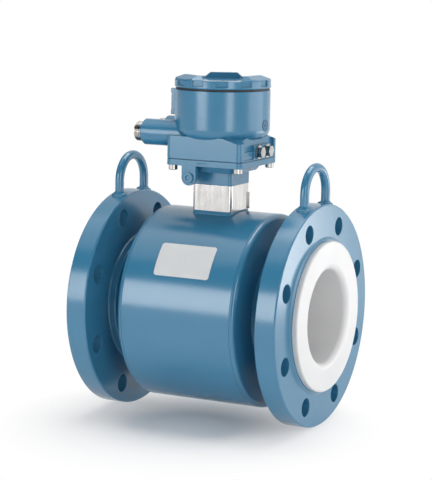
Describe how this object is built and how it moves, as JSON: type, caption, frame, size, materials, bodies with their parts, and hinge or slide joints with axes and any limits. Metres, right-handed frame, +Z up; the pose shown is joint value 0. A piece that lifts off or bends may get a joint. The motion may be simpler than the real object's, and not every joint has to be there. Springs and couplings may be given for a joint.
{
  "type": "electromagnetic flow meter",
  "caption": "Flanged electromagnetic flow meter with a lined straight bore, welded coil housing, lifting eyes, and a junction box with screwed cover and plugged conduit hubs on a square neck.",
  "frame": {"origin": "on the axis of the flow bore, midway between the two gasket faces", "axes": "+X along the flow bore from inlet to outlet, +Z up through the neck to the junction box, front is -Y"},
  "size_m": [0.25, 0.2286, 0.3553],
  "materials": {
    "blue_paint": "satin enamel over steel",
    "cast_paint": "satin enamel over cast aluminium",
    "liner_white": "smooth moulded white fluoropolymer",
    "stainless": "brushed stainless",
    "tube_steel": "pickled stainless tube",
    "plate_metal": "bright brushed plate, blank",
    "label_film": "matt light grey plate, blank",
    "seal_rubber": "moulded black rubber",
    "gasket_rubber": "flat dark gasket",
    "coil_copper": "enamelled copper winding",
    "core_iron": "bare magnet iron",
    "insulator": "moulded insulator",
    "lead_jacket": "wire insulation",
    "terminal_plastic": "moulded terminal block",
    "terminal_metal": "plated brass screw",
    "tape_white": "wound thread seal tape"
  },
  "bodies": {
    "meter": {"flow_tube": "tube_steel", "liner": "liner_white", "inlet_flange": "blue_paint", "outlet_flange": "blue_paint", "inlet_lifting_eye": "blue_paint", "outlet_lifting_eye": "blue_paint", "inlet_end_plate": "blue_paint", "outlet_end_plate": "blue_paint", "coil_housing": "blue_paint", "upper_pole_piece": "core_iron", "lower_pole_piece": "core_iron", "upper_coil": "coil_copper", "lower_coil": "coil_copper", "return_yoke": "core_iron", "front_electrode": "stainless", "rear_electrode": "stainless", "front_electrode_bush": "insulator", "rear_electrode_bush": "insulator", "front_electrode_spring": "stainless", "rear_electrode_spring": "stainless", "front_electrode_nut": "stainless", "rear_electrode_nut": "stainless", "front_electrode_lead": "lead_jacket", "rear_electrode_lead": "lead_jacket", "pedestal": "blue_paint", "lug_screw": "blue_paint", "neck_plate": "plate_metal", "box_gasket": "gasket_rubber", "junction_box": "cast_paint", "box_bolts": "stainless", "ground_washers": "stainless", "ground_screws": "stainless", "terminal_block": "terminal_plastic", "terminal_screws": "terminal_metal", "side_plate": "plate_metal", "barrel_label": "label_film"},
    "cover_carrier": {"cover_seal": "seal_rubber"},
    "cover": {"cover": "cast_paint"},
    "front_plug_tape": {"plug_tape_front": "tape_white"},
    "front_plug": {"conduit_plug_front": "stainless"},
    "rear_plug_tape": {"plug_tape_rear": "tape_white"},
    "rear_plug": {"conduit_plug_rear": "stainless"}
  },
  "joints": [
    {"name": "cover_rise", "type": "slide", "parent": "meter", "child": "cover_carrier", "axis": [0, 0, 1], "range_m": [0, 0.01305]},
    {"name": "cover_turn", "type": "hinge", "parent": "cover_carrier", "child": "cover", "pos_m": [0, 0, 0.2315], "axis": [0, 0, 1], "range_deg": [0, 2340]},
    {"name": "front_plug_draw", "type": "slide", "parent": "meter", "child": "front_plug_tape", "axis": [-1, 0, 0], "range_m": [0, 0.0115]},
    {"name": "front_plug_turn", "type": "hinge", "parent": "front_plug_tape", "child": "front_plug", "pos_m": [-0.0765, -0.024, 0.1797], "axis": [-1, 0, 0], "range_deg": [0, 2268]},
    {"name": "rear_plug_draw", "type": "slide", "parent": "meter", "child": "rear_plug_tape", "axis": [-1, 0, 0], "range_m": [0, 0.0115]},
    {"name": "rear_plug_turn", "type": "hinge", "parent": "rear_plug_tape", "child": "rear_plug", "pos_m": [-0.0765, 0.024, 0.1797], "axis": [-1, 0, 0], "range_deg": [0, 2268]}
  ],
  "couplings": [
    {"joint": "cover_rise", "follows": "cover_turn", "m_per_rad": 0.00031831},
    {"joint": "front_plug_draw", "follows": "front_plug_turn", "m_per_rad": 0.00028871},
    {"joint": "rear_plug_draw", "follows": "rear_plug_turn", "m_per_rad": 0.00028871}
  ]
}
